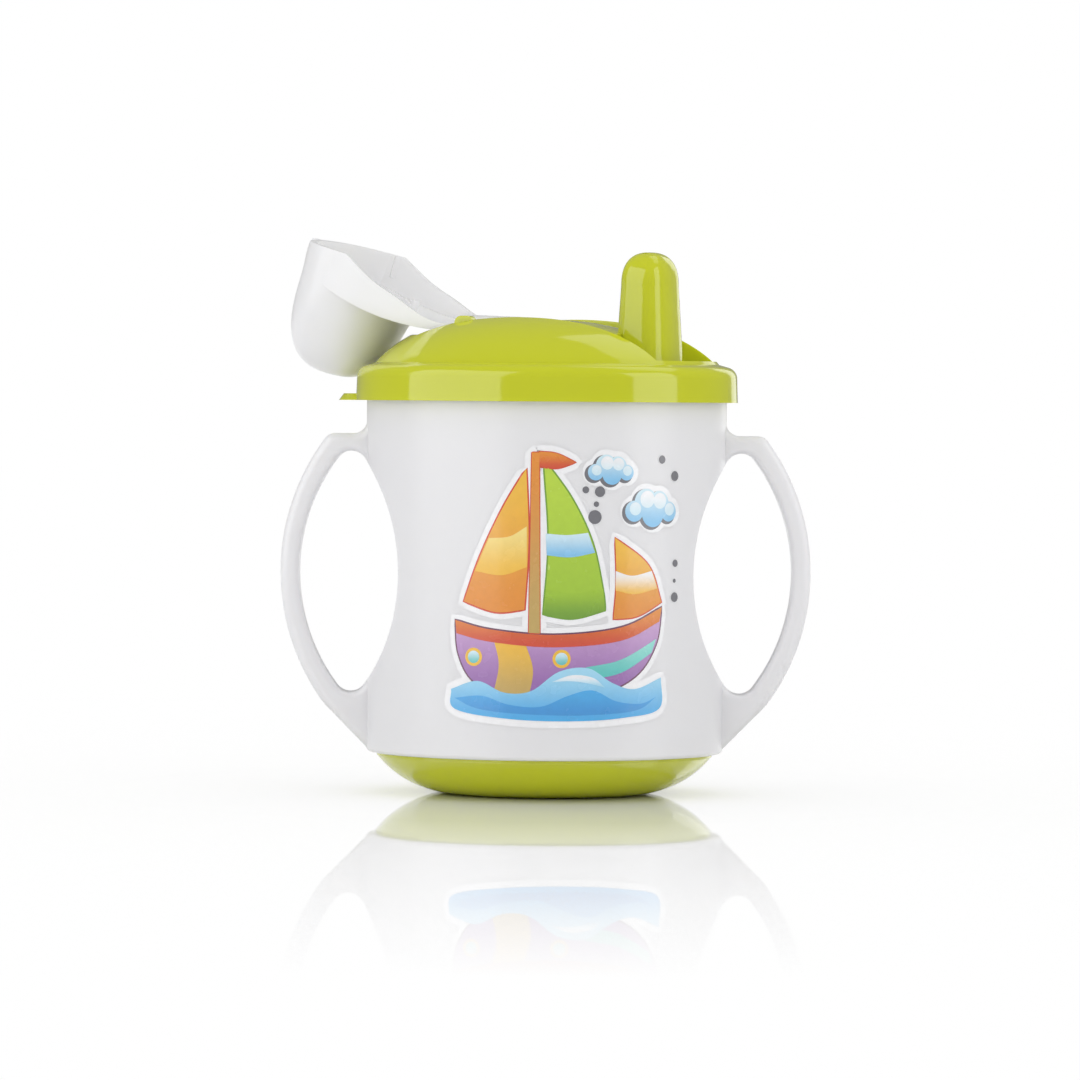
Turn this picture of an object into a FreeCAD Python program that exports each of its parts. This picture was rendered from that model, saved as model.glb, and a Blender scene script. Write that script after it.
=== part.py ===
"""A two-handled toddler's training cup with a push-on spout lid and a hinged spout cover.

All sizes are millimetres. The origin is the middle of the flat patch the cup stands on, +Z is up, the
handles lie along X, and the lid's spout and cover lie along a line turned from +X towards -Y.
"""
import FreeCAD, Part
import math
import os
from FreeCAD import Vector

# ---- cup body --------------------------------------------------------------------------------------
BODY_R_TOP = 40.0             # outer radius at the mouth
BODY_TAPER = 0.4              # the underside's radius is smaller by this
BODY_Z0 = 9.2                 # underside of the moulding, where the base cap starts
BODY_H = 82.4
WALL = 1.8
BODY_EDGE_R = 0.9             # rounding of the bottom edge
FLOOR_T = 2.0
BEAD_H = 0.35                 # snap bead under the mouth edge
BEAD_DROP = 2.6               # from the mouth edge down to the bead's middle

BODY_R_BOTTOM = BODY_R_TOP - BODY_TAPER
BODY_TOP_Z = BODY_Z0 + BODY_H

# ---- handles, one moulding with the body -----------------------------------------------------------
HANDLE_REACH = 18.8           # from the body's mouth radius out to the widest point
HANDLE_TOP_REACH = 8.3        # where the flat top meets the outer arc
HANDLE_TOP_DROP = 12.0        # flat top under the mouth edge
HANDLE_LOW_REACH = 9.1        # where the outer arc ends and the straight run to the foot starts
HANDLE_LOW_RISE = 10.6        # the same, over the body's underside
HANDLE_SAG = 0.7              # the widest point is this much below the middle of those two
HANDLE_TOP_R = 2.6            # rounding between the flat top and the outer arc
HANDLE_ROOT_R = 3.2           # hollow rounding between the body and the flat top
HANDLE_LOW_R = 16.0           # rounding between the outer arc and the straight run
HANDLE_W = 11.0               # width across the strip, along Y
HANDLE_EDGE_R = 1.9           # rounding of the strip's outer edges
HANDLE_ROOT_IN = 12.0         # the plate starts inside the cup, and the cavity cuts it off
HANDLE_STRIP = 4.1            # thickness of the strip at its widest point
HOLE_IN = 7.7                 # how far the finger hole hollows the body's side
HOLE_IN_R = 44.0              # arc on the body's side
HOLE_OUT_R = 42.0             # arc on the strip's side
HOLE_TIP_R = 3.7              # round ends of the hole
HOLE_EDGE_R = 1.5             # rounding of the hole's edges

HANDLE_X = BODY_R_TOP + HANDLE_REACH
HANDLE_TOP = (BODY_R_TOP + HANDLE_TOP_REACH, BODY_TOP_Z - HANDLE_TOP_DROP)
HANDLE_LOW = (BODY_R_TOP + HANDLE_LOW_REACH, BODY_Z0 + HANDLE_LOW_RISE)
HANDLE_MID_Z = (HANDLE_TOP[1] + HANDLE_LOW[1]) / 2 - HANDLE_SAG
HOLE_IN_X = BODY_R_TOP - HOLE_IN

# ---- base cap --------------------------------------------------------------------------------------
BASE_IN = 2.3                 # the cap's side stands this far inside the body's
BASE_FLAT_IN = 17.3           # from the cap's side in to the flat patch that it stands on
BASE_ARC_R = 22.0             # rounding from the flat patch to the side
BASE_T = 1.8
SPIGOT_IN = 3.9               # the body's spigot inside the cap's side
SPIGOT_T = 1.6
SPIGOT_H = 2.0
SPIGOT_CLEAR = 0.08

BASE_R_TOP = BODY_R_BOTTOM - BASE_IN
BASE_FLAT_R = BASE_R_TOP - BASE_FLAT_IN
SPIGOT_R = BASE_R_TOP - SPIGOT_IN

# ---- lid -------------------------------------------------------------------------------------------
LID_TURN = 20.0               # degrees, spout direction from +X towards -Y
RIM_OUT = 2.4                 # rim's outside over the body's mouth radius, at its lower edge
RIM_DRAFT = 0.25              # the rim draws in by this towards its top
RIM_DROP = 4.6                # rim's lower edge under the mouth edge
RIM_H = 7.3
RIM_EDGE_R = 2.6              # rounding from the rim's side to its shoulder
RIM_CLEAR = 0.15              # rim's inside over the body's bead
SHOULDER_H = 1.1
LID_T = 1.6
DOME_IN = 1.8                 # dome's foot inside the body's mouth radius
DOME_H = 11.4
DOME_POW = 3.0                # fullness of the dome: a higher power is flatter in the middle
DOME_EXP = 0.88               # and a lower exponent is steeper at its foot
SEAL_T = 1.0
SEAL_FIT = 0.05               # seal's bore over the plug
SEAL_LIFT = 0.02              # seal over the mouth edge before it is pressed
PLUG_CLEAR = 0.2              # plug skirt inside the mouth
PLUG_DEPTH = 7.0              # below the mouth edge
TAB_R = 7.4                   # pry tab, a half disc on the rim
TAB_IN = 0.6                  # its centre lies this far inside the rim's outer radius
TAB_T = 1.5
TAB_SLOPE = 1.1               # the tab's top draws in by this towards its thin edge

RIM_R = BODY_R_TOP + RIM_OUT
RIM_TOP_R = RIM_R - RIM_DRAFT
RIM_Z0 = BODY_TOP_Z - RIM_DROP
RIM_TOP_Z = RIM_Z0 + RIM_H
DOME_R = BODY_R_TOP - DOME_IN
DOME_Z0 = RIM_TOP_Z + SHOULDER_H
PLUG_R = BODY_R_TOP - WALL - PLUG_CLEAR

# ---- channel that the cover lies in: places from the hinge line and heights over the dome's foot ---
HINGE_IN = 29.9               # hinge line inside the rim's outer radius
COVER_HALF_W = 19.0
CHANNEL_CLEAR = 0.45          # beside the cover
FLOOR_FLAT = 0.7              # floor round the spout
COVER_GAP = 0.45              # cover's lower edge over the channel floor
COVER_EDGE = FLOOR_FLAT + COVER_GAP
COVER_EDGE_LINE = (           # cover's lower edge, from the hinge to the flat floor
    (4.5, 9.8), (8.5, 9.9), (12.5, 9.0), (17.5, 7.2), (21.5, 6.0), (25.5, 4.4), (28.5, 2.8),
    (31.5, COVER_EDGE),
)
STEP_CLEAR = 0.6              # from the knuckle's room to the step where the channel's floor starts
STEP_LEAN = 0.9               # the step leans by this
RIDGE_IN = 2.7                # the ridge's side inside the cover's side
RIDGE_CROWN = 1.3             # the ridge's long edges lie this much lower than its middle
RIDGE_CLEAR = 0.5             # cover over the ridge
RIDGE_LINE = (                # ridge's middle, from the hinge into the spout's foot
    (4.5, 9.5), (7.5, 9.8), (12.5, 9.8), (19.6, 9.5), (24.5, 8.8), (30.5, 7.6), (33.0, 7.0),
)

HINGE_U = HINGE_IN - RIM_R
RIDGE_HALF_W = COVER_HALF_W - RIDGE_IN
FLOOR_FLAT_Z = DOME_Z0 + FLOOR_FLAT
FLOOR_UNDER_Z = FLOOR_FLAT_Z - LID_T

# ---- spout -----------------------------------------------------------------------------------------
SPOUT_RUN = 36.5              # from the hinge line to the spout's middle
SPOUT_H = 24.7                # rounded top over the dome's foot
SPOUT_A = 6.45                # half thickness at the foot, along the lid's line
SPOUT_B = 9.8                 # half width at the foot, across it
SPOUT_A_DRAW = 1.05           # the spout is this much smaller where the rounded top starts
SPOUT_B_DRAW = 1.2
SPOUT_POWER = 2.9             # squareness of the section: 2 is an ellipse
SPOUT_ROUND = 7.6             # height of the rounded top
CAP_POWER = 2.5               # squareness of the rounded top's outline
SPOUT_T = 1.4
DRINK_HOLE_R = 0.8
DRINK_HOLES = 3
DRINK_HOLE_PITCH = 2.8
VENT_R = 1.15                 # vent through the ridge

SPOUT_U = HINGE_U + SPOUT_RUN
SPOUT_TOP_Z = DOME_Z0 + SPOUT_H
VENT_U, VENT_Z = HINGE_U + RIDGE_LINE[3][0], DOME_Z0 + RIDGE_LINE[3][1]

# ---- spout valve -----------------------------------------------------------------------------------
COLLAR_T = 1.3
COLLAR_DROP = 5.0             # collar under the channel's floor
VALVE_CLEAR = 0.03
VALVE_FLANGE = 1.1
VALVE_FLANGE_T = 1.2
VALVE_MEMBRANE = 0.9
VALVE_WALL = 1.0
SLIT_LENGTH = 5.0
SLIT_W = 0.3
COLLAR_Z = FLOOR_UNDER_Z - COLLAR_DROP

# ---- hinge -----------------------------------------------------------------------------------------
HINGE_RISE = 8.6              # hinge line over the dome's foot
OPEN_ANGLE = 165.0
KNUCKLE_R = 2.0
KNUCKLE_CLEAR = 0.45
TRUNNION_R = 1.1
TRUNNION_CLEAR = 0.05
TRUNNION_END = 0.35           # trunnions end this far before the channel's sides
EAR_HALF_L = 2.2              # half length along the lid's line
EAR_UP = 1.75                 # top over the hinge line
EAR_ROUND = 1.6               # rounding of the two top edges
EAR_T = 2.2
EAR_CLEAR = 0.25              # beside the ear
EAR_GAP = 0.7                 # before and behind the ear
EAR_DEPTH = 5.0
HINGE_Z = DOME_Z0 + HINGE_RISE

# ---- cover: all in its closed place, turned open at the end ----------------------------------------
COVER_T = 1.3
COVER_NOSE = 9.0              # front of the leaf-shaped lower edge, from the spout's middle
COVER_SHOULDER = 24.5         # where the sides start to draw in, from the hinge line
COVER_NOSE_POW = 2.3
COVER_TIP = 2.0               # lift tip beyond the nose
COVER_TIP_HALF_W = 2.6
COVER_TIP_T = 1.1
HOOD_CLEAR = 3.3              # inside of the hood over the spout
HOOD_SECTIONS = (             # (u from the spout's middle, half length, half width, depth under the top)
    (-3.9, 12.9, 17.3, 22.7), (-3.1, 12.3, 16.7, 16.7), (-2.4, 11.6, 15.5, 11.7),
    (-1.9, 10.2, 13.4, 6.7), (-1.7, 8.2, 10.8, 3.2), (-1.9, 5.2, 6.9, 0.7), (-2.0, 2.1, 3.0, 0.0),
)
HOOD_MOUTH = (-4.9, 13.8, 17.6)   # the same at the cover's lower edge
HOOD_MOUTH_RUN = 3.0          # the hood's inside is cut on below its mouth by this
STRAP_LINE = (                # strap's upper surface, from the hinge into the hood
    (3.5, 11.3), (8.5, 12.1), (13.5, 12.5), (18.5, 12.5), (24.5, 11.9), (32.5, 10.2), (40.5, 8.0),
)
STRAP_FRONT = (49.9, 6.8)     # beyond the nose, where the strap's surface would come down to
STRAP_BACK = (3.9, 9.5)       # bend of the strap's underside beside the knuckle
NUB_R = 0.95                  # nub that plugs the vent
NUB_IN = 1.2
NUB_TOP = 11.8                # inside the strap's wall
COVER_SHOULDER_U = HINGE_U + COVER_SHOULDER
COVER_NOSE_U = SPOUT_U + COVER_NOSE
COVER_EDGE_Z = DOME_Z0 + COVER_EDGE
HOOD_TOP_Z = SPOUT_TOP_Z + HOOD_CLEAR + COVER_T

# ---- decal -----------------------------------------------------------------------------------------
DECAL_T = 0.12
DECAL_RISE = 7.5              # its lower edge over the body's underside
DECAL_H = 60.0
DECAL_HALF_ANGLE = 42.5
DECAL_TURN = 9.7              # degrees that the film's middle is turned from -Y towards +X
DECAL_Z0 = BODY_Z0 + DECAL_RISE
DECAL_Z1 = DECAL_Z0 + DECAL_H

Z = Vector(0, 0, 1)
BIG = 200.0


def arc(p, q, r):
    """Circular edge through three (x, z) points in the XZ plane."""
    return Part.Arc(*[Vector(x, 0, z) for x, z in (p, q, r)]).toShape()


def line(p, q):
    """Straight edge between two (x, z) points in the XZ plane."""
    return Part.makeLine(Vector(p[0], 0, p[1]), Vector(q[0], 0, q[1]))


def over_dome(points):
    """(u, z) points from (distance before the hinge line, height over the dome's foot) ones."""
    return [(HINGE_U + run, DOME_Z0 + height) for run, height in points]


def polyline(points):
    """Straight edges through (x, z) points in the XZ plane."""
    return [line(p, q) for p, q in zip(points, points[1:])]


def spline(points):
    """Smooth edge through (x, z) points in the XZ plane."""
    curve = Part.BSplineCurve()
    curve.interpolate([Vector(x, 0, z) for x, z in points])
    return curve.toShape()


def revolve(edges):
    """Solid turned about the Z axis from a closed outline in the XZ plane."""
    return Part.Face(Part.Wire(edges)).revolve(Vector(0, 0, 0), Z, 360)


def prism_y(edges, half_width):
    """Solid from a closed outline in the XZ plane, as wide to each side of it."""
    face = Part.Face(Part.Wire(edges))
    face.translate(Vector(0, -half_width, 0))
    return face.extrude(Vector(0, 2 * half_width, 0))


def oval(u, a, b, z, power=2.4, count=16):
    """Closed smooth wire at height z: a superellipse of half sizes a along X and b along Y."""
    points = []
    for i in range(count):
        t = 2 * math.pi * i / count
        c, s = math.cos(t), math.sin(t)
        x = a * math.copysign(abs(c) ** (2 / power), c)
        y = b * math.copysign(abs(s) ** (2 / power), s)
        points.append(Vector(u + x, y, z))
    curve = Part.BSplineCurve()
    curve.interpolate(points, PeriodicFlag=True)
    return Part.Wire(curve.toShape())


def stack(sections, power=2.4):
    """Smooth solid through ovals given as (u, a, b, z)."""
    return Part.makeLoft([oval(*s, power=power) for s in sections], True, False)


def clean(shape):
    """The shape's one solid, with split faces joined again."""
    solids = shape.removeSplitter().Solids
    return max(solids, key=lambda s: s.Volume)


# ---- cup body ------------------------------------------------------------------------------------
def body_r(z):
    """Outer radius of the body at height z."""
    return BODY_R_BOTTOM + BODY_TAPER * (z - BODY_Z0) / BODY_H


def hole_outline(grow):
    """Almond outline of the finger hole in the +X handle, grown outwards: two arcs and two round tips."""
    r_in, r_out, r_tip = HOLE_IN_R + grow, HOLE_OUT_R + grow, HOLE_TIP_R + grow
    c_in = HOLE_IN_X + HOLE_IN_R
    c_out = HANDLE_X - HANDLE_STRIP - HOLE_OUT_R
    tip_x = ((r_in - r_tip) ** 2 - (r_out - r_tip) ** 2 - c_in ** 2 + c_out ** 2) / (2 * (c_out - c_in))
    tip_h = math.sqrt((r_in - r_tip) ** 2 - (tip_x - c_in) ** 2)

    def touch(centre, radius, side):
        """Point where a tip's circle runs into one of the long arcs."""
        share = radius / math.hypot(tip_x - centre, tip_h)
        return centre + (tip_x - centre) * share, HANDLE_MID_Z + side * tip_h * share

    in_top, in_low = touch(c_in, r_in, 1), touch(c_in, r_in, -1)
    out_top, out_low = touch(c_out, r_out, 1), touch(c_out, r_out, -1)
    return [
        arc(in_top, (c_in - r_in, HANDLE_MID_Z), in_low),
        arc(in_low, (tip_x, HANDLE_MID_Z - tip_h - r_tip), out_low),
        arc(out_low, (c_out + r_out, HANDLE_MID_Z), out_top),
        arc(out_top, (tip_x, HANDLE_MID_Z + tip_h + r_tip), in_top),
    ]


def hole_rims(plate):
    """Edges round the finger hole in the plate's two flat sides."""
    hole = Part.Wire(hole_outline(0)).BoundBox
    rims = []
    for edge in side_edges(plate, HOLE_IN_X, hole.XMax + 0.1):
        box = edge.BoundBox
        if box.XMin > hole.XMin - 0.1 and box.ZMin > hole.ZMin - 0.1 and box.ZMax < hole.ZMax + 0.1:
            rims.append(edge)
    return rims


def finger_hole(grow, half_width):
    """The finger hole as a solid along Y."""
    return prism_y(hole_outline(grow), half_width)


def edges_at(shape, corner):
    """Edges that run along Y through one (x, z) corner."""
    x, z = corner
    near = []
    for edge in shape.Edges:
        box = edge.BoundBox
        off = abs(box.XMin - x) + abs(box.XMax - x) + abs(box.ZMin - z) + abs(box.ZMax - z)
        if off < 0.02:
            near.append(edge)
    return near


def side_edges(shape, x_min, x_max):
    """Edges in the handle plate's two flat sides that lie between two x."""
    flat = [e for e in shape.Edges if e.BoundBox.YLength < 0.01]
    return [e for e in flat if e.BoundBox.XMax > x_min and e.BoundBox.XMax < x_max]


def handle():
    """The +X handle as a rounded plate with its finger hole."""
    reach = (HANDLE_X, HANDLE_MID_Z)
    foot = (BODY_R_BOTTOM - 0.6, BODY_Z0 + 0.4)
    crest_z = HANDLE_TOP[1] + HANDLE_ROOT_R
    skin = body_r(crest_z) - 0.2
    k = HANDLE_ROOT_R * (1 - math.sqrt(0.5))
    root_x = BODY_R_TOP - HANDLE_ROOT_IN
    root_low, root_top = (root_x, foot[1]), (root_x, crest_z)
    edges = [
        line(root_top, (skin, crest_z)),
        arc((skin, crest_z), (skin + k, HANDLE_TOP[1] + k), (skin + HANDLE_ROOT_R, HANDLE_TOP[1])),
        line((skin + HANDLE_ROOT_R, HANDLE_TOP[1]), HANDLE_TOP),
        arc(HANDLE_TOP, reach, HANDLE_LOW),
        *polyline([HANDLE_LOW, foot, root_low, root_top]),
    ]
    plate = prism_y(edges, HANDLE_W / 2)
    plate = plate.makeFillet(HANDLE_TOP_R, edges_at(plate, HANDLE_TOP))
    plate = plate.makeFillet(HANDLE_LOW_R, edges_at(plate, HANDLE_LOW))
    plate = plate.makeFillet(HANDLE_EDGE_R, side_edges(plate, BODY_R_TOP + 1, BIG))
    plate = plate.cut(finger_hole(0, HANDLE_W))
    return plate.makeFillet(HOLE_EDGE_R, hole_rims(plate))


def mirrored(shape):
    """The shape and its mirror image across the YZ plane."""
    return shape, shape.mirror(Vector(0, 0, 0), Vector(1, 0, 0))


def bead_ring(radius, z, height):
    """Small half-round ring that stands out of a wall of that radius."""
    ring = Part.makeTorus(radius - height, 2 * height)
    ring.translate(Vector(0, 0, z))
    return ring


def cup_body():
    """Body shell with both handles, a floor and the spigot that holds the base cap."""
    outside = Part.makeCone(BODY_R_BOTTOM, BODY_R_TOP, BODY_H, Vector(0, 0, BODY_Z0))
    bottom = [e for e in outside.Edges if abs(e.BoundBox.ZMax - BODY_Z0) < 0.01]
    outside = outside.makeFillet(BODY_EDGE_R, bottom)
    outside = outside.fuse(list(mirrored(handle())))
    outside = outside.cut(list(mirrored(finger_hole(0, BIG / 2))))
    floor_z = BODY_Z0 + FLOOR_T
    depth = BODY_TOP_Z - floor_z
    cavity = Part.makeCone(body_r(floor_z) - WALL, BODY_R_TOP - WALL, depth, Vector(0, 0, floor_z))
    cavity = cavity.cut(list(mirrored(finger_hole(WALL, BIG / 2))))
    shell = outside.cut(cavity)
    bead = bead_ring(BODY_R_TOP, BODY_TOP_Z - BEAD_DROP, BEAD_H)
    spigot = Part.makeCylinder(SPIGOT_R, SPIGOT_H + 0.5, Vector(0, 0, BODY_Z0 - SPIGOT_H))
    spigot = spigot.cut(Part.makeCylinder(SPIGOT_R - SPIGOT_T, BIG, Vector(0, 0, 0)))
    inside = Part.makeCylinder(BODY_R_BOTTOM - WALL, BODY_TOP_Z, Vector(0, 0, floor_z))
    return clean(shell.fuse([bead.cut(inside), spigot]))


# ---- base cap ------------------------------------------------------------------------------------
def bowl(offset, top_z):
    """Solid of the base's round-bottomed outline, moved inwards by an offset, up to a height."""
    radius = BASE_ARC_R - offset
    side_x = BASE_R_TOP - offset
    turn = math.asin((side_x - BASE_FLAT_R) / radius)

    def on_arc(angle):
        """Point of the side arc at an angle from the flat patch."""
        return BASE_FLAT_R + radius * math.sin(angle), BASE_ARC_R - radius * math.cos(angle)

    return revolve([
        line((0, offset), on_arc(0)),
        arc(on_arc(0), on_arc(turn / 2), on_arc(turn)),
        *polyline([on_arc(turn), (side_x, top_z), (0, top_z), (0, offset)]),
    ])


def base_cap():
    """Round-bottomed cap pushed onto the spigot under the body."""
    socket = Part.makeCylinder(SPIGOT_R + SPIGOT_CLEAR, BIG, Vector(0, 0, 0))
    return clean(bowl(0, BODY_Z0).cut(bowl(BASE_T, BIG).common(socket)))


# ---- lid -----------------------------------------------------------------------------------------
def dome_z(r, drop=0.0):
    """Height of the dome's surface at radius r, for a dome smaller all over by drop."""
    share = max(0.0, 1 - (r / (DOME_R - drop)) ** DOME_POW)
    return DOME_Z0 - drop + DOME_H * share ** DOME_EXP


def dome_points(drop):
    """Points of the dome's outline from its foot to its middle."""
    shares = (1.0, 0.985, 0.94, 0.87, 0.78, 0.66, 0.5, 0.3, 0.0)
    return [((DOME_R - drop) * s, dome_z((DOME_R - drop) * s, drop)) for s in shares]


def lid_blank():
    """Outside of the lid without spout: rim, shoulder and dome, solid all through."""
    shoulder = (DOME_R, DOME_Z0)
    edges = [
        *polyline([(0, RIM_Z0), (RIM_R, RIM_Z0), (RIM_TOP_R, RIM_TOP_Z), shoulder]),
        spline(dome_points(0)),
        line((0, DOME_Z0 + DOME_H), (0, RIM_Z0)),
    ]
    blank = revolve(edges)
    rim = [e for e in blank.Edges if abs(e.BoundBox.ZMax - RIM_TOP_Z) < 0.01 and e.BoundBox.ZLength < 0.01]
    return blank.makeFillet(RIM_EDGE_R, rim)


def channel(grow):
    """Room for the cover in the dome, all along the lid's line, its floor lower by a margin."""
    half = COVER_HALF_W + CHANNEL_CLEAR + grow
    pocket_z = HINGE_Z - KNUCKLE_R - KNUCKLE_CLEAR - grow
    step_u = HINGE_U + KNUCKLE_R + KNUCKLE_CLEAR + STEP_CLEAR + grow
    floor = [(u, z - COVER_GAP - grow) for u, z in over_dome(COVER_EDGE_LINE)]
    floor[0] = (step_u + STEP_LEAN, floor[1][1])
    edges = polyline([(BIG, BIG), (-BIG, BIG), (-BIG, pocket_z), (step_u, pocket_z), floor[0]])
    edges += [spline(floor)] + polyline([floor[-1], (BIG, floor[-1][1]), (BIG, BIG)])
    return prism_y(edges, half)


def ridge(grow):
    """Crowned ridge in the channel's middle, from the hinge into the spout's foot, larger by a margin."""
    half = RIDGE_HALF_W + grow
    top = [(u, z + grow) for u, z in over_dome(RIDGE_LINE)]
    top[0] = (top[0][0] - grow, top[0][1])
    top[-1] = (top[-1][0] + grow, top[-1][1])
    grid = []
    for u, z in top:
        grid.append([Vector(u, half * s, z - RIDGE_CROWN * s * s) for s in (-1.0, -0.5, 0.0, 0.5, 1.0)])
    surface = Part.BSplineSurface()
    surface.interpolate(grid)
    depth = top[0][1] - FLOOR_UNDER_Z
    return surface.toShape().extrude(Vector(0, 0, -depth))


def spout_solid(offset):
    """The spout from inside the lid to its rounded top, moved inwards by an offset."""
    neck_z = SPOUT_TOP_Z - SPOUT_ROUND
    a, b = SPOUT_A - SPOUT_A_DRAW - offset, SPOUT_B - SPOUT_B_DRAW - offset
    foot = oval(SPOUT_U, SPOUT_A - offset, SPOUT_B - offset, FLOOR_UNDER_Z, SPOUT_POWER)
    stem = Part.makeLoft([foot, oval(SPOUT_U, a, b, neck_z, SPOUT_POWER)], True, True)
    cap = []
    for share in (0.0, 0.2, 0.4, 0.6, 0.77, 0.9, 0.97, 0.995):
        width = (1 - share ** CAP_POWER) ** (1 / CAP_POWER)
        cap.append((SPOUT_U, a * width, b * width, neck_z + (SPOUT_ROUND - offset) * share))
    return stem.fuse(stack(cap, SPOUT_POWER))


def straight_oval(a, b, z0, z1):
    """Upright solid of the spout's section between two heights."""
    return Part.Face(oval(SPOUT_U, a, b, z0, SPOUT_POWER)).extrude(Vector(0, 0, z1 - z0))


def ears():
    """Both hinge ears, standing in the channel against its sides, without their holes."""
    made = []
    into_wall = 0.2
    inner = COVER_HALF_W + CHANNEL_CLEAR - EAR_T
    top_z = HINGE_Z + EAR_UP
    for start in (inner, -inner - EAR_T - into_wall):
        foot = Vector(HINGE_U - EAR_HALF_L, start, HINGE_Z - EAR_DEPTH)
        block = Part.makeBox(2 * EAR_HALF_L, EAR_T + into_wall, EAR_DEPTH + EAR_UP, foot)
        crest = [e for e in block.Edges if e.BoundBox.ZMin > top_z - 0.01 and e.BoundBox.XLength < 0.01]
        made.append(block.makeFillet(EAR_ROUND, crest))
    return made


def lid():
    """Push-on lid with dome, cover channel, spout, valve collar, hinge ears and pry tab."""
    mouth_r = BODY_R_TOP + BEAD_H + RIM_CLEAR
    ceiling_z = BODY_TOP_Z + SEAL_T
    outside = lid_blank().cut(channel(0))
    tab = Part.makeCone(TAB_R, TAB_R - TAB_SLOPE, TAB_T, Vector(TAB_IN - RIM_R, 0, RIM_Z0))
    outside = outside.fuse([spout_solid(0), ridge(0), tab, *ears()])
    groove = Part.makeCylinder(mouth_r, ceiling_z, Vector(0, 0, 0))
    groove = groove.cut(Part.makeCylinder(PLUG_R, BIG, Vector(0, 0, 0)))
    plug_z = BODY_TOP_Z - PLUG_DEPTH
    plug = Part.makeCylinder(PLUG_R, RIM_Z0 - plug_z, Vector(0, 0, plug_z))
    hollow = revolve([
        *polyline([(0, 0), (DOME_R - LID_T, 0), (DOME_R - LID_T, DOME_Z0 - LID_T)]),
        spline(dome_points(LID_T)),
        line((0, dome_z(0, LID_T)), (0, 0)),
    ])
    hollow = hollow.cut(channel(LID_T)).fuse(ridge(-LID_T)).cut(spout_solid(0))
    grown = COLLAR_T - SPOUT_T
    collar = straight_oval(SPOUT_A + grown, SPOUT_B + grown, COLLAR_Z, FLOOR_UNDER_Z + 0.4)
    shell = outside.fuse(plug).cut(groove).cut(hollow).fuse(collar)
    shell = shell.cut(spout_solid(SPOUT_T).fuse(socket_room()))
    drills = [Part.makeCylinder(VENT_R, BIG, Vector(VENT_U, 0, BODY_TOP_Z))]
    for k in range(DRINK_HOLES):
        v = (k - (DRINK_HOLES - 1) / 2) * DRINK_HOLE_PITCH
        drills.append(Part.makeCylinder(DRINK_HOLE_R, BIG, Vector(SPOUT_U, v, SPOUT_TOP_Z - SPOUT_ROUND)))
    drills.append(hinge_rod(TRUNNION_R + TRUNNION_CLEAR, trunnion_reach() + TRUNNION_CLEAR))
    return clean(shell.cut(drills))


def hinge_rod(radius, reach):
    """Rod about the hinge line, as long to each side of the middle."""
    return Part.makeCylinder(radius, 2 * reach, Vector(HINGE_U, -reach, HINGE_Z), Vector(0, 1, 0))


def socket_room():
    """Straight room in the collar and the spout's foot that the valve is pushed into."""
    return straight_oval(SPOUT_A - SPOUT_T, SPOUT_B - SPOUT_T, 0, FLOOR_UNDER_Z)


def trunnion_reach():
    """Half length over both trunnions, a little short of the channel's sides."""
    return COVER_HALF_W + CHANNEL_CLEAR - TRUNNION_END


def lid_seal():
    """Flat silicone ring between the mouth edge and the lid's ceiling."""
    inner = PLUG_R + SEAL_FIT
    outer = BODY_R_TOP + BEAD_H
    ring = Part.makeCylinder(outer, SEAL_T - SEAL_LIFT, Vector(0, 0, BODY_TOP_Z + SEAL_LIFT))
    return ring.cut(Part.makeCylinder(inner, BIG, Vector(0, 0, 0)))


def spout_valve():
    """Soft silicone plug in the collar, with a slit membrane and a pull flange."""
    a = SPOUT_A - SPOUT_T - VALVE_CLEAR
    b = SPOUT_B - SPOUT_T - VALVE_CLEAR
    low = COLLAR_Z - VALVE_FLANGE_T
    plug = straight_oval(a, b, COLLAR_Z - 0.1, FLOOR_UNDER_Z)
    flange = straight_oval(a + VALVE_FLANGE, b + VALVE_FLANGE, low, COLLAR_Z)
    cup = straight_oval(a - VALVE_WALL, b - VALVE_WALL, low, FLOOR_UNDER_Z - VALVE_MEMBRANE)
    slit = Part.makeBox(SLIT_W, SLIT_LENGTH, BIG, Vector(SPOUT_U - SLIT_W / 2, -SLIT_LENGTH / 2, 0))
    return clean(plug.fuse(flange).cut(cup).cut(slit))


# ---- cover ---------------------------------------------------------------------------------------
def leaf(grow):
    """Upright prism of the cover's leaf-shaped plan: parallel sides that draw in to a blunt nose."""
    half = COVER_HALF_W + grow
    reach = COVER_NOSE_U - COVER_SHOULDER_U + grow
    right = []
    for share in (0.0, 0.25, 0.45, 0.62, 0.76, 0.87, 0.95, 0.99):
        width = half * (1 - share ** COVER_NOSE_POW) ** (1 / COVER_NOSE_POW)
        right.append((COVER_SHOULDER_U + reach * share, width))
    nose = [(COVER_SHOULDER_U + reach, 0.0)]
    outline = right + nose + [(u, -v) for u, v in reversed(right)]
    curve = Part.BSplineCurve()
    curve.interpolate([Vector(u, v, 0) for u, v in outline])
    back = HINGE_U - grow
    edges = [
        Part.makeLine(Vector(back, half, 0), Vector(*outline[0], 0)),
        curve.toShape(),
        Part.makeLine(Vector(*outline[-1], 0), Vector(back, -half, 0)),
        Part.makeLine(Vector(back, -half, 0), Vector(back, half, 0)),
    ]
    return Part.Face(Part.Wire(edges)).extrude(Vector(0, 0, BIG))


def strap_outline(under, under_start, top):
    """Closed outline from the strap's upper surface back to its start, then under it to the nose."""
    front_u = HINGE_U + STRAP_FRONT[0]
    front_low = (front_u, under[-1][1])
    front_top = (front_u, top[-1][1] - STRAP_LINE[-1][1] + STRAP_FRONT[1])
    edges = polyline([top[0], *under_start, under[0]]) + [spline(under)]
    edges += polyline([under[-1], front_low, front_top, top[-1]])
    return edges + [spline(top[::-1])]


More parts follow.
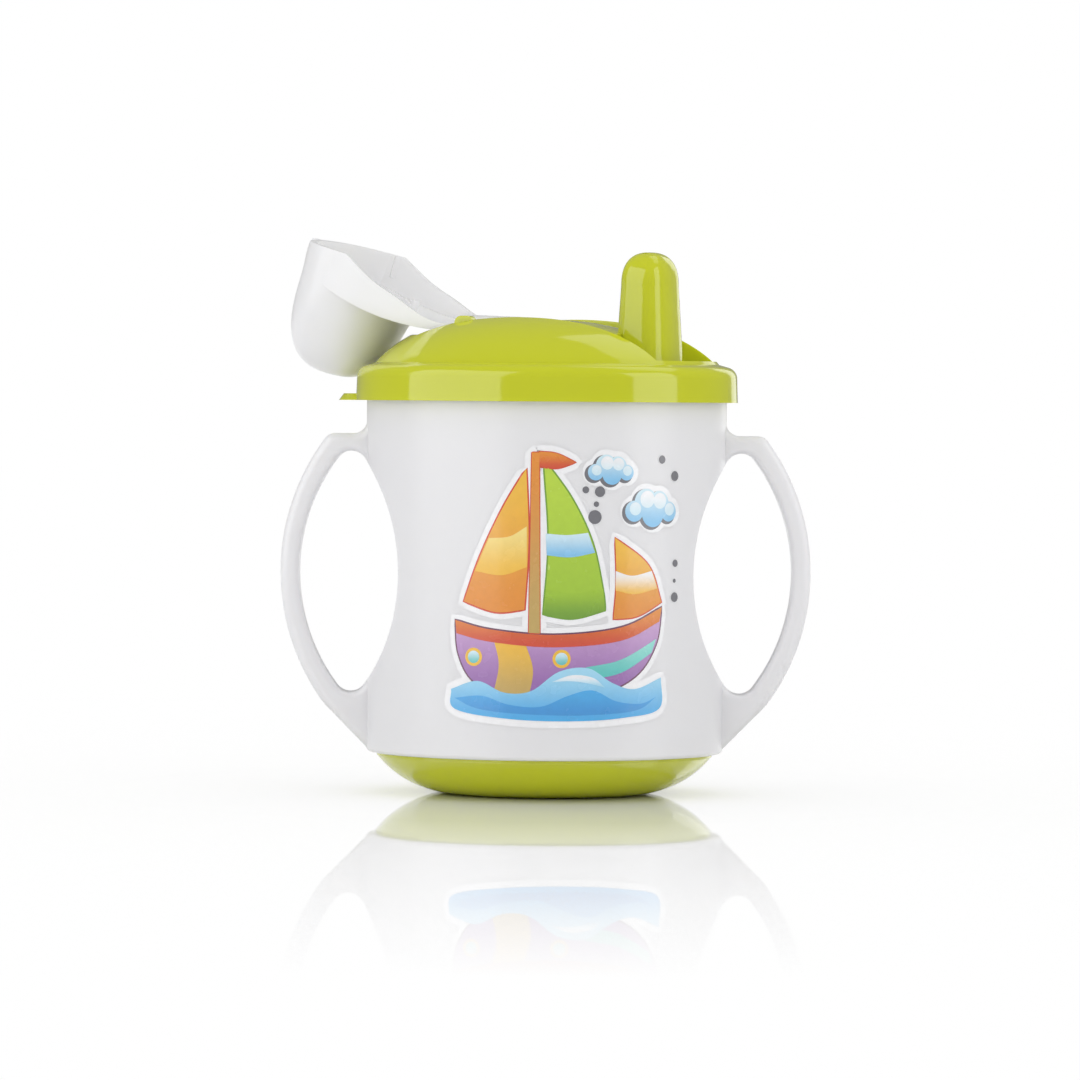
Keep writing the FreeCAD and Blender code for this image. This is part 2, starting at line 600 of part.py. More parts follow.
def strap_solid():
    """Everything between the cover's lower edge and the strap's upper surface, wider than the cover."""
    top = [(HINGE_U, HINGE_Z + KNUCKLE_R), *over_dome(STRAP_LINE)]
    back = [(HINGE_U, HINGE_Z), *over_dome([STRAP_BACK])]
    return prism_y(strap_outline(over_dome(COVER_EDGE_LINE), back, top), BIG / 2)


def strap_room():
    """The strap's inside: a wall's thickness below its upper surface, and open at its lower edge."""
    under = [(u, z - 3) for u, z in over_dome(COVER_EDGE_LINE)]
    top = [(u, z - COVER_T) for u, z in over_dome(STRAP_LINE)]
    top[0] = (under[0][0], top[0][1])
    return prism_y(strap_outline(under, [], top), BIG / 2)


def under_edge():
    """Everything below the cover's lower edge."""
    edge = over_dome(COVER_EDGE_LINE)
    first, last = edge[0], edge[-1]
    around = polyline([last, (BIG, last[1]), (BIG, 0), (first[0], 0), first])
    return prism_y([spline(edge)] + around, BIG / 2)


def hood_sections():
    """Ovals (u, half length, half width, z) of the hood's outside, from its mouth to its top."""
    u, a, b = HOOD_MOUTH
    sections = [(SPOUT_U + u, a, b, COVER_EDGE_Z)]
    for u, a, b, depth in HOOD_SECTIONS:
        sections.append((SPOUT_U + u, a, b, HOOD_TOP_Z - depth))
    return sections


def hood_room():
    """The hood's inside, a wall's thickness smaller, running on below its mouth."""
    outer = hood_sections()
    inner = [(u, a - COVER_T, b - COVER_T, z) for u, a, b, z in outer[:-2]]
    u, a, b, z = outer[-2]
    inner.append((u, a - COVER_T, b - COVER_T, z - 0.9 * COVER_T))
    inner.append((u, 1.0, 1.6, HOOD_TOP_Z - COVER_T))
    u, a, b, z = inner[0]
    return stack([(u, a, b, z - HOOD_MOUTH_RUN)] + inner)


def ear_slots(inner):
    """Room for both hinge ears at the cover's back corners, outside a half width."""
    size = 2 * (EAR_HALF_L + EAR_GAP), BIG, 20
    corner = Vector(HINGE_U - EAR_HALF_L - EAR_GAP, inner, HINGE_Z - 6)
    slot = Part.makeBox(*size, corner)
    return [slot, slot.mirror(Vector(0, 0, 0), Vector(0, 1, 0))]


def lift_tip():
    """Small pointed lip before the hood, to lift the cover with a finger."""
    back = COVER_NOSE_U - 2.5
    corners = [(back, -COVER_TIP_HALF_W), (COVER_NOSE_U + COVER_TIP, 0), (back, COVER_TIP_HALF_W)]
    plan = Part.makePolygon([Vector(u, v, COVER_EDGE_Z) for u, v in corners + corners[:1]])
    return Part.Face(plan).extrude(Vector(0, 0, COVER_TIP_T))


def cover_closed():
    """The hinged cover in its closed place: strap and skirts, hood, lift tip, nub and trunnions."""
    cavity = hood_room()
    hood = stack(hood_sections()).cut(under_edge())
    inside = strap_room().common(leaf(-COVER_T)).fuse(cavity)
    body = strap_solid().common(leaf(0)).fuse(hood).cut(inside)
    inner = COVER_HALF_W + CHANNEL_CLEAR - EAR_T - EAR_CLEAR
    for slot in ear_slots(inner):
        body = body.cut(slot)
    body = body.cut(ridge(RIDGE_CLEAR))
    nub_z = VENT_Z - NUB_IN
    nub = Part.makeCylinder(NUB_R, DOME_Z0 + NUB_TOP - nub_z, Vector(VENT_U, 0, nub_z))
    rods = [hinge_rod(KNUCKLE_R, inner), hinge_rod(TRUNNION_R, trunnion_reach())]
    return body.fuse([*rods, nub, lift_tip().cut(cavity)])


def cover():
    """The cover turned back to its open rest place."""
    shape = max(cover_closed().Solids, key=lambda solid: solid.Volume)
    shape.rotate(Vector(HINGE_U, 0, HINGE_Z), Vector(0, 1, 0), -OPEN_ANGLE)
    return shape


def decal():
    """Thin printed film on the front of the body, between two heights."""
    base = Vector(0, 0, DECAL_Z0)
    low_r, top_r = body_r(DECAL_Z0), body_r(DECAL_Z1)
    outer = Part.makeCone(low_r + DECAL_T, top_r + DECAL_T, DECAL_H, base)
    film = outer.cut(Part.makeCone(low_r, top_r, DECAL_H, base))
    spread = math.radians(DECAL_HALF_ANGLE)
    far = Vector(-BIG * math.sin(spread), -BIG * math.cos(spread), 0)
    near = Vector(BIG * math.sin(spread), -BIG * math.cos(spread), 0)
    wedge = Part.Face(Part.makePolygon([Vector(0, 0, 0), far, near, Vector(0, 0, 0)]))
    film = clean(film.common(wedge.extrude(Vector(0, 0, BIG))))
    film.rotate(Vector(0, 0, 0), Z, DECAL_TURN)
    return film


def turned(shape):
    """A lid-side piece turned so that the lid's line points where the spout does."""
    shape.rotate(Vector(0, 0, 0), Z, -LID_TURN)
    return shape


def main():
    os.makedirs("parts", exist_ok=True)
    pieces = {
        "cup_body": cup_body(),
        "base_cap": base_cap(),
        "decal_film": decal(),
        "lid": turned(lid()),
        "lid_seal": turned(lid_seal()),
        "spout_valve": turned(spout_valve()),
        "spout_cover": turned(cover()),
    }
    for name, shape in pieces.items():
        box = shape.BoundBox
        low, high = (box.XMin, box.YMin, box.ZMin), (box.XMax, box.YMax, box.ZMax)
        print(name, "solids", len(shape.Solids), "valid", shape.isValid(), "volume %.0f" % shape.Volume,
              "from %.1f %.1f %.1f" % low, "to %.1f %.1f %.1f" % high)
        shape.exportStep("parts/%s.step" % name)


main()
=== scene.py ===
import bpy
import math
from mathutils import Matrix, Vector
from mathutils.geometry import delaunay_2d_cdt


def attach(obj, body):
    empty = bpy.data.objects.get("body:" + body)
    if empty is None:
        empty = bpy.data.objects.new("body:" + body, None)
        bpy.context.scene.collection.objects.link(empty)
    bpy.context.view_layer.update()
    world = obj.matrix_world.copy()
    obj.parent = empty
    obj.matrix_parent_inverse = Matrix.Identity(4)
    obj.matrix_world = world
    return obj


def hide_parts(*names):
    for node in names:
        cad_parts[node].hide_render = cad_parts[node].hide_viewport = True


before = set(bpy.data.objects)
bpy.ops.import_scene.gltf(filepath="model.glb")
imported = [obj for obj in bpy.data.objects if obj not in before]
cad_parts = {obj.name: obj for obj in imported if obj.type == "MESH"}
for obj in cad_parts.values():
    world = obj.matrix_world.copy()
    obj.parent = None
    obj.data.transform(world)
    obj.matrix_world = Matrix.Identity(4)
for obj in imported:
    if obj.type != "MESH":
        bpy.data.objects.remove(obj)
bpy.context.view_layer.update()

# ---- the cup's side, mm, that the print lies on -----------------------------------------------------
MM = 0.001
MOUTH_R = 40.0
UNDERSIDE_R = 39.6
UNDERSIDE_Z = 9.2
SIDE_H = 82.4

# ---- camera -----------------------------------------------------------------------------------------
CAMERA_X = -0.0013
CAMERA_DISTANCE = 1.407
CAMERA_Z = 0.0874
CAMERA_PITCH = 1.27           # degrees down
CAMERA_ROLL = 0.46            # degrees
CAMERA_LENS = 211.0           # mm on this sensor
CAMERA_SENSOR = 36.0
CAMERA_SIGHT = 50.0           # m, the furthest it sees


def make_camera():
    """A long lens at the height of the cup's rim, looking along +Y."""
    data = bpy.data.cameras.new("camera")
    data.lens = CAMERA_LENS
    data.sensor_width = CAMERA_SENSOR
    data.clip_end = CAMERA_SIGHT
    camera = bpy.data.objects.new("camera", data)
    bpy.context.collection.objects.link(camera)
    tilt = Matrix.Rotation(math.radians(90.0 - CAMERA_PITCH), 4, "X")
    roll = Matrix.Rotation(math.radians(CAMERA_ROLL), 4, "Z")
    camera.matrix_world = Matrix.Translation((CAMERA_X, -CAMERA_DISTANCE, CAMERA_Z)) @ tilt @ roll
    bpy.context.scene.camera = camera


# ---- node helpers -----------------------------------------------------------------------------------
def new_material(name):
    """(material, nodes, links, Principled shader) of a fresh material."""
    material = bpy.data.materials.new(name)
    material.use_nodes = True
    tree = material.node_tree
    return material, tree.nodes, tree.links, tree.nodes["Principled BSDF"]


def noise(nodes, links, scale, detail=2.0, roughness=0.5):
    """Noise over the object's own coordinates."""
    place = nodes.new("ShaderNodeTexCoord")
    texture = nodes.new("ShaderNodeTexNoise")
    texture.inputs["Scale"].default_value = scale
    texture.inputs["Detail"].default_value = detail
    texture.inputs["Roughness"].default_value = roughness
    links.new(place.outputs["Object"], texture.inputs["Vector"])
    return texture.outputs["Fac"]


def spread(nodes, links, source, low, high):
    """The 0 to 1 source spread over low to high."""
    span = nodes.new("ShaderNodeMapRange")
    span.inputs["To Min"].default_value = low
    span.inputs["To Max"].default_value = high
    links.new(source, span.inputs["Value"])
    return span.outputs["Result"]


def tint(nodes, links, source, low, high):
    """Colour that runs from low to high with the source."""
    ramp = nodes.new("ShaderNodeValToRGB")
    ramp.color_ramp.elements[0].color = (*low, 1.0)
    ramp.color_ramp.elements[1].color = (*high, 1.0)
    links.new(source, ramp.inputs["Fac"])
    return ramp.outputs["Color"]


def ripple(nodes, links, shader, source, distance, strength=1.0):
    """Fine unevenness of the surface."""
    bump = nodes.new("ShaderNodeBump")
    bump.inputs["Distance"].default_value = distance
    bump.inputs["Strength"].default_value = strength
    links.new(source, bump.inputs["Height"])
    links.new(bump.outputs["Normal"], shader.inputs["Normal"])


def scattering(shader, weight, depth, radius):
    """Light that goes into the plastic and comes out again nearby, depth in metres."""
    shader.inputs["Subsurface Weight"].default_value = weight
    shader.inputs["Subsurface Scale"].default_value = depth
    shader.inputs["Subsurface Radius"].default_value = radius


# ---- materials --------------------------------------------------------------------------------------
# Colours are linear; each pair is the low and the high end of a slight unevenness.
LIME = ((0.555, 0.59, 0.022), (0.60, 0.635, 0.028))
CLOUDY = ((0.78, 0.78, 0.76), (0.84, 0.84, 0.82))
LIME_GLOW = (1.0, 1.0, 0.15)  # how far red, green and blue light travel inside, as shares of the depth
MILK_GLOW = (1.0, 0.95, 0.9)
SILICONE_GLOW = (1.0, 0.2, 0.1)
RIPPLE = 0.0002               # height of the surface's unevenness
MIRROR_NEAR = 0.1             # the table top's mirror image is whole up to here from the middle
MIRROR_FAR = 0.45             # and gone from here
MIRROR_SHARE = 0.58


def lime_plastic():
    """Glossy injection-moulded lime polypropylene."""
    material, nodes, links, shader = new_material("lime_plastic")
    flow = noise(nodes, links, 22.0)
    links.new(tint(nodes, links, flow, *LIME), shader.inputs["Base Color"])
    fine = noise(nodes, links, 900.0, 3.0)
    links.new(spread(nodes, links, fine, 0.06, 0.11), shader.inputs["Roughness"])
    scattering(shader, weight=0.25, depth=0.003, radius=LIME_GLOW)
    ripple(nodes, links, shader, flow, RIPPLE, 0.15)
    return material


def milky_plastic(name, shade, weight, transmission):
    """Milky translucent polypropylene of a grey shade, a little uneven in its gloss."""
    material, nodes, links, shader = new_material(name)
    flow = noise(nodes, links, 30.0)
    low = (shade, shade - 0.005, shade + 0.015)
    high = (shade + 0.015, shade + 0.01, shade + 0.025)
    links.new(tint(nodes, links, flow, low, high), shader.inputs["Base Color"])
    fine = noise(nodes, links, 1100.0, 3.0)
    links.new(spread(nodes, links, fine, 0.27, 0.35), shader.inputs["Roughness"])
    scattering(shader, weight, depth=0.004, radius=MILK_GLOW)
    shader.inputs["Transmission Weight"].default_value = transmission
    ripple(nodes, links, shader, flow, RIPPLE, 0.1)
    return material


def soft_silicone():
    """Cloudy silicone of the seal and the valve."""
    material, nodes, links, shader = new_material("silicone")
    flow = noise(nodes, links, 60.0)
    links.new(tint(nodes, links, flow, *CLOUDY), shader.inputs["Base Color"])
    links.new(spread(nodes, links, flow, 0.42, 0.5), shader.inputs["Roughness"])
    scattering(shader, weight=0.5, depth=0.004, radius=SILICONE_GLOW)
    return material


def floor_material():
    """Polished white table top, its mirror image fading away from the middle."""
    material, nodes, links, shader = new_material("floor_white")
    nodes.remove(shader)
    matt = nodes.new("ShaderNodeBsdfDiffuse")
    matt.inputs["Color"].default_value = (1.0, 1.0, 1.0, 1.0)
    mirror = nodes.new("ShaderNodeBsdfGlossy")
    mirror.inputs["Roughness"].default_value = 0.0
    mirror.inputs["Color"].default_value = (1.0, 1.0, 1.0, 1.0)
    place = nodes.new("ShaderNodeTexCoord")
    length = nodes.new("ShaderNodeVectorMath")
    length.operation = "LENGTH"
    fade = nodes.new("ShaderNodeMapRange")
    fade.inputs["From Min"].default_value = MIRROR_NEAR
    fade.inputs["From Max"].default_value = MIRROR_FAR
    fade.inputs["To Min"].default_value = MIRROR_SHARE
    fade.inputs["To Max"].default_value = 0.0
    mix = nodes.new("ShaderNodeMixShader")
    links.new(place.outputs["Object"], length.inputs[0])
    links.new(length.outputs["Value"], fade.inputs["Value"])
    links.new(fade.outputs["Result"], mix.inputs["Fac"])
    links.new(matt.outputs["BSDF"], mix.inputs[1])
    links.new(mirror.outputs["BSDF"], mix.inputs[2])
    links.new(mix.outputs["Shader"], nodes["Material Output"].inputs["Surface"])
    return material


def ink():
    """Screen-printed ink, its colour painted on the print's points, under a clear glossy coat."""
    material, nodes, links, shader = new_material("print_ink")
    paint = nodes.new("ShaderNodeVertexColor")
    paint.layer_name = "ink"
    grain = spread(nodes, links, noise(nodes, links, 700.0, 2.0), 0.93, 1.04)
    mix = nodes.new("ShaderNodeVectorMath")
    mix.operation = "SCALE"
    links.new(paint.outputs["Color"], mix.inputs[0])
    links.new(grain, mix.inputs["Scale"])
    links.new(mix.outputs["Vector"], shader.inputs["Base Color"])
    links.new(spread(nodes, links, noise(nodes, links, 300.0), 0.2, 0.32), shader.inputs["Roughness"])
    shader.inputs["Coat Weight"].default_value = 0.4
    shader.inputs["Coat Roughness"].default_value = 0.1
    return material


# ---- print on the front of the cup ------------------------------------------------------------------
# A sailing boat, two clouds, dots and waves. Places are (arc, height) in mm, the arc measured round the
# cup from its front, and rounds are (arc, height, radius). A point given twice is a corner.
PRINT_STEP = 1.0              # mm between the print's points
SAME = 1e-6                   # mm within which two points are one
MERGE = 1e-5                  # the same, while the print is filled
PRINT_LIFTS = (0.02, 0.04, 0.06, 0.08, 0.10, 0.117)   # mm over the cup's surface, for each ink layer
BORDER, UNDER, FILL, DETAIL, OVER, FRONT = range(len(PRINT_LIFTS))
BORDER_W = 1.5                # white border round the boat
CLOUD_BORDER_W = 1.2
EDGE_W = 0.35                 # drawn edges
FAR_EDGE_W = 0.3
FINE_EDGE_W = 0.2
WHITE = (0.93, 0.93, 0.95)
GREY = (0.17, 0.17, 0.19)
ORANGE = (0.80, 0.28, 0.03)
AMBER = (0.90, 0.52, 0.05)
RED = (0.66, 0.07, 0.03)
GREEN = (0.36, 0.58, 0.03)
LEAF = (0.17, 0.36, 0.03)
SKY = (0.22, 0.55, 0.86)
PALE_SKY = (0.66, 0.85, 0.94)
SEA = (0.07, 0.42, 0.83)
DEEP = (0.05, 0.30, 0.70)
FOAM = (0.38, 0.72, 0.92)
TEAL = (0.10, 0.55, 0.52)
PURPLE = (0.30, 0.13, 0.42)
PINK = (0.62, 0.38, 0.66)
GOLD = (0.55, 0.38, 0.12)
INK = (0.16, 0.06, 0.12)
FRESH = (0.50, 0.70, 0.05)
SUN = (0.95, 0.75, 0.25)
MINT = (0.30, 0.75, 0.68)

BOAT_HULL = [(-20.5, 39.5), (-20.5, 39.5), (-12, 37.6), (2, 36.6), (17, 38.2), (27.5, 42.5), (27.5, 42.5),
             (26.0, 34.5), (20.5, 27.5), (10, 23.5), (-6, 23.0), (-15.5, 26.0), (-19.6, 32.0)]
HULL_RAIL = [(-20.5, 39.5), (-20.5, 39.5), (-12, 37.6), (2, 36.6), (17, 38.2), (27.5, 42.5), (27.5, 42.5),
             (26.9, 39.4), (26.9, 39.4), (17, 35.3), (2, 33.9), (-12, 34.9), (-20.2, 36.6), (-20.2, 36.6)]
HULL_BAND = [(-11.5, 36.0), (-11.5, 36.0), (-4.5, 35.2), (-4.5, 35.2), (-2.6, 29), (-3.6, 22.6), (-3.6, 22.6),
             (-11.4, 23.6), (-11.4, 23.6), (-10.2, 30)]
HULL_STRIPE = [(9, 29.6), (9, 29.6), (17, 31.2), (26.0, 35.6), (26.0, 35.6), (24.8, 32.6), (24.8, 32.6),
               (17, 28.3), (8.6, 26.8), (8.6, 26.8)]
MAST = [(-3.2, 76.0), (-3.2, 76.0), (-1.6, 76.0), (-1.6, 76.0), (-1.2, 36.9), (-1.2, 36.9),
        (-3.6, 37.0), (-3.6, 37.0)]
MAIN_SAIL = [(-0.6, 74.5), (-0.6, 74.5), (5.6, 66.0), (10.2, 56.5), (12.6, 46.5), (13.2, 42.0), (13.2, 42.0),
             (6.0, 40.2), (-0.4, 41.0), (-0.4, 41.0), (0.6, 57.0)]
SAIL_STRIPE = [(-0.1, 58.5), (-0.1, 58.5), (4.6, 58.2), (9.2, 58.7), (9.2, 58.7), (10.8, 54.4), (10.8, 54.4),
               (5.4, 53.4), (0.2, 53.8), (0.2, 53.8)]
SAIL_FOOT = [(0.2, 46.5), (0.2, 46.5), (6.4, 45.6), (12.7, 46.6), (12.7, 46.6), (13.2, 42.0), (13.2, 42.0),
             (6.0, 40.2), (-0.4, 41.0), (-0.4, 41.0)]
FORE_SAIL = [(-4.4, 72.5), (-4.4, 72.5), (-9.5, 64.0), (-14.6, 53.5), (-18.4, 43.6), (-18.4, 43.6),
             (-11.0, 41.4), (-4.6, 42.0), (-4.6, 42.0), (-3.8, 57.0)]
FORE_PATCH = [(-4.2, 60.0), (-4.2, 60.0), (-8.0, 57.8), (-12.6, 57.4), (-12.6, 57.4), (-15.8, 50.2),
              (-15.8, 50.2), (-9.6, 49.4), (-4.1, 51.2), (-4.1, 51.2)]
PENNANT = [(-1.6, 76.2), (-1.6, 76.2), (2.2, 75.8), (6.4, 73.9), (6.4, 73.9), (2.4, 72.6),
           (-1.6, 72.9), (-1.6, 72.9)]
FAR_SAIL = [(15.4, 57.6), (15.4, 57.6), (15.8, 48.0), (15.2, 40.0), (15.2, 40.0), (21.0, 40.6),
            (27.4, 43.6), (27.4, 43.6), (23.8, 51.6)]
FAR_PATCH = [(15.6, 50.4), (15.6, 50.4), (19.6, 49.4), (24.6, 50.4), (24.6, 50.4), (26.2, 46.6), (26.2, 46.6),
             (20.4, 45.4), (15.6, 46.2), (15.6, 46.2)]
WAVES_BACK = [(-21.5, 24.5), (-21.5, 24.5), (-15, 26.4), (-9, 24.0), (-3, 24.4), (3, 28.6),
              (9.5, 29.4), (15, 26.2), (20.5, 24.8), (27.5, 27.2), (27.5, 27.2), (27.2, 20.5),
              (18, 18.6), (6, 17.9), (-8, 18.3), (-20.5, 20.2)]
WAVES_FRONT = [(-20.6, 22.6), (-20.6, 22.6), (-14, 23.2), (-8, 21.4), (-1, 21.0), (5, 23.4),
               (10.5, 24.6), (16, 22.2), (22, 21.6), (26.2, 23.0), (26.2, 23.0), (21, 20.2),
               (9, 19.2), (-5, 19.4), (-15, 20.4)]
WAVE_GLINT = [(1.5, 26.4), (1.5, 26.4), (6, 27.9), (10.6, 27.3), (13.4, 25.2), (13.4, 25.2),
              (9.6, 26.1), (5.6, 26.6)]
PORTHOLES = [(-16.0, 31.6), (3.6, 31.4)]
PORTHOLE_R = 2.0
PORTHOLE_GLASS_R = 1.35
BUBBLES = [(8.6, 68.0, 0.75), (11.8, 67.6, 1.15), (10.7, 62.1, 1.5), (11.0, 64.9, 0.6),
           (31.0, 71.0, 1.1), (31.4, 52.0, 0.8), (31.2, 48.2, 0.45), (31.3, 44.6, 1.05), (27.2, 74.6, 0.9)]
CLOUDS = [(14.4, 72.3, 0.78), (24.6, 64.0, 1.0)]      # middle and size
PUFFS = [(-4.6, -0.6, 2.3), (-1.6, 1.3, 3.0), (1.8, 1.0, 2.8), (4.6, -0.7, 2.2), (0.2, -1.2, 2.9)]


def hermite(start, start_way, end, end_way, t):
    """Point at t, 0 to 1, of the curve between two points that leaves and arrives along two ways."""
    a = 2 * t ** 3 - 3 * t ** 2 + 1
    b = t ** 3 - 2 * t ** 2 + t
    c = 3 * t ** 2 - 2 * t ** 3
    d = t ** 3 - t ** 2
    return start * a + start_way * b + end * c + end_way * d


def smooth_outline(points, parts=7):
    """Closed curve through the points, parts pieces from each point to the next."""
    line = []
    count = len(points)
    for i in range(count):
        a, b, c, d = (Vector(points[(i + k) % count]) for k in (-1, 0, 1, 2))
        if (c - b).length < SAME:
            continue
        lead = (c - a) * 0.5 if (b - a).length > SAME else c - b
        tail = (d - b) * 0.5 if (d - c).length > SAME else c - b
        line += [hermite(b, lead, c, tail, k / parts) for k in range(parts)]
    return line


def disc(s, z, r, parts=26):
    """Round outline."""
    return [Vector((s + r * math.cos(2 * math.pi * k / parts), z + r * math.sin(2 * math.pi * k / parts)))
            for k in range(parts)]


def swollen(line, margin):
    """Outline moved outwards by a margin."""
    area = sum(p.x * q.y - q.x * p.y for p, q in zip(line, line[1:] + line[:1]))
    side = 1.0 if area > 0 else -1.0
    moved = []
    for before, here, after in zip(line[-1:] + line[:-1], line, line[1:] + line[:1]):
        way = (after - before).normalized()
        moved.append(here + Vector((way.y, -way.x)) * margin * side)
    return moved


def filled(*lines):
    """(points, triangles) inside the outlines, with points close enough to follow the cup's round."""
    points = [p for line in lines for p in line]
    low = Vector((min(p.x for p in points), min(p.y for p in points)))
    high = Vector((max(p.x for p in points), max(p.y for p in points)))
    columns = int((high.x - low.x) / PRINT_STEP) + 1
    rows = int((high.y - low.y) / PRINT_STEP) + 1
    for i in range(1, columns):
        for j in range(1, rows):
            points.append(low + Vector((i, j)) * PRINT_STEP)
    loops, start = [], 0
    for line in lines:
        loops.append(list(range(start, start + len(line))))
        start += len(line)
    inside_only = 1
    corners, _, triangles, *_ = delaunay_2d_cdt(points, [], loops, inside_only, MERGE)
    return corners, triangles


class Print:
    """The print's mesh while it is being collected."""

    def __init__(self):
        self.points, self.faces, self.colours = [], [], []

    def add(self, line, layer, low_colour, high_colour=None):
        """One ink shape on a layer, its colour running from low to high."""
        self.add_group([line], layer, low_colour, high_colour)

    def add_group(self, lines, layer, low_colour, high_colour=None):
        """Several overlapping outlines printed as one shape."""
        high_colour = high_colour or low_colour
        flat, triangles = filled(*lines)
        bottom, top = min(p.y for p in flat), max(p.y for p in flat)
        start = len(self.points)
        for p in flat:
            share = (p.y - bottom) / (top - bottom)
            share = share * share * (3 - 2 * share)
            radius = cup_radius(p.y) + PRINT_LIFTS[layer]
            angle = p.x / MOUTH_R
            self.points.append((radius * math.sin(angle) * MM, -radius * math.cos(angle) * MM, p.y * MM))
            self.colours.append([a + (b - a) * share for a, b in zip(low_colour, high_colour)])
        for face in triangles:
            self.faces.append([start + k for k in face])

    def edged(self, line, layer, edge_colour, edge, low_colour, high_colour=None):
        """An ink shape with a drawn edge round it."""
        self.add(swollen(line, edge), layer - 1, edge_colour)
        self.add(line, layer, low_colour, high_colour)


def cup_radius(z):
    """Outer radius of the cup at a height, both in mm."""
    return UNDERSIDE_R + (MOUTH_R - UNDERSIDE_R) * (z - UNDERSIDE_Z) / SIDE_H


def draw_cloud(sheet, s, z, size):
    """A puffy cloud with a white border, a grey shadow and a light on each of its four outer puffs."""
    puffs = [(s + a * size, z + b * size, r * size) for a, b, r in PUFFS]
    sheet.add_group([disc(a, b, r + CLOUD_BORDER_W) for a, b, r in puffs], BORDER, WHITE)
    sheet.add_group([disc(a - 0.5, b - 0.35, r + 0.25) for a, b, r in puffs], UNDER, GREY)
    sheet.add_group([disc(a, b, r) for a, b, r in puffs], FILL, SKY, PALE_SKY)
    lights = [disc(a + 0.1 * r, b + 0.22 * r, 0.62 * r) for a, b, r in puffs[:4]]
    sheet.add_group(lights, DETAIL, PALE_SKY, WHITE)


def draw_sails(sheet):
    """The three sails with their patches, the mast and the pennant."""
    sheet.edged(smooth_outline(FAR_SAIL), FILL, RED, FAR_EDGE_W, ORANGE, AMBER)
    sheet.add(smooth_outline(FAR_PATCH), DETAIL, AMBER, WHITE)
    sheet.edged(smooth_outline(MAIN_SAIL), FILL, LEAF, EDGE_W, GREEN, FRESH)
    sheet.add(smooth_outline(SAIL_STRIPE), DETAIL, SKY, PALE_SKY)
    sheet.add(smooth_outline(SAIL_FOOT), DETAIL, LEAF, GREEN)
    sheet.edged(smooth_outline(FORE_SAIL), FILL, RED, EDGE_W, ORANGE, AMBER)
    sheet.add(smooth_outline(FORE_PATCH), DETAIL, AMBER, SUN)
    sheet.edged(smooth_outline(MAST), DETAIL, RED, FINE_EDGE_W, GOLD, ORANGE)
    sheet.edged(smooth_outline(PENNANT), DETAIL, RED, FINE_EDGE_W, RED, ORANGE)


def draw_hull(sheet):
    """The hull with its band, stripe, rail and portholes."""
    sheet.edged(smooth_outline(BOAT_HULL), FILL, INK, EDGE_W, PURPLE, PINK)
    sheet.add(smooth_outline(HULL_BAND), DETAIL, GOLD, AMBER)
    sheet.add(smooth_outline(HULL_STRIPE), DETAIL, TEAL, MINT)
    sheet.add(smooth_outline(HULL_RAIL), OVER, RED, ORANGE)
    for s, z in PORTHOLES:
        sheet.add(disc(s, z, PORTHOLE_R), DETAIL, AMBER)
        sheet.add(disc(s, z, PORTHOLE_GLASS_R), OVER, TEAL, PALE_SKY)


def draw_waves(sheet):
    """The waves before the boat."""
    sheet.add(smooth_outline(WAVES_BACK), OVER, SEA, FOAM)
    sheet.add(smooth_outline(WAVES_FRONT), FRONT, DEEP, SEA)
    sheet.add(smooth_outline(WAVE_GLINT), FRONT, FOAM, WHITE)


def make_print():
    """The printed scene, which stands for the film it is printed on."""
    sheet = Print()
    for shape in (BOAT_HULL, MAST, MAIN_SAIL, FORE_SAIL, PENNANT, FAR_SAIL, WAVES_BACK):
        sheet.add(swollen(smooth_outline(shape), BORDER_W), BORDER, WHITE)
    draw_sails(sheet)
    draw_hull(sheet)
    draw_waves(sheet)
    for s, z, size in CLOUDS:
        draw_cloud(sheet, s, z, size)
    for s, z, r in BUBBLES:
        sheet.add(disc(s, z, r), FILL, GREY)
    mesh = bpy.data.meshes.new("decal_print")
    mesh.from_pydata(sheet.points, [], sheet.faces)
    paint = mesh.color_attributes.new("ink", "FLOAT_COLOR", "POINT")
    for dot, colour in zip(paint.data, sheet.colours):
        dot.color = (*colour, 1.0)
    mesh.shade_smooth()
    print_piece = bpy.data.objects.new("decal_print", mesh)
    bpy.context.collection.objects.link(print_piece)
    mesh.materials.append(ink())
    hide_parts("decal_film")
    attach(print_piece, "cup")


# ---- stage ------------------------------------------------------------------------------------------
FLOOR_REACH = 6.0
GLOSS_WORLD = 0.26            # how bright the studio is in the soft reflections
LIGHT_TARGET = Vector((0.0, 0.0, 0.06))


def make_floor():
    """Large white table top."""
    mesh = bpy.data.meshes.new("floor")
    r = FLOOR_REACH
    corners = [(-r, -r, 0.0), (r, -r, 0.0), (r, r, 0.0), (-r, r, 0.0)]
    mesh.from_pydata(corners, [], [(0, 1, 2, 3)])
    floor = bpy.data.objects.new("floor", mesh)
    bpy.context.collection.objects.link(floor)
    mesh.materials.append(floor_material())


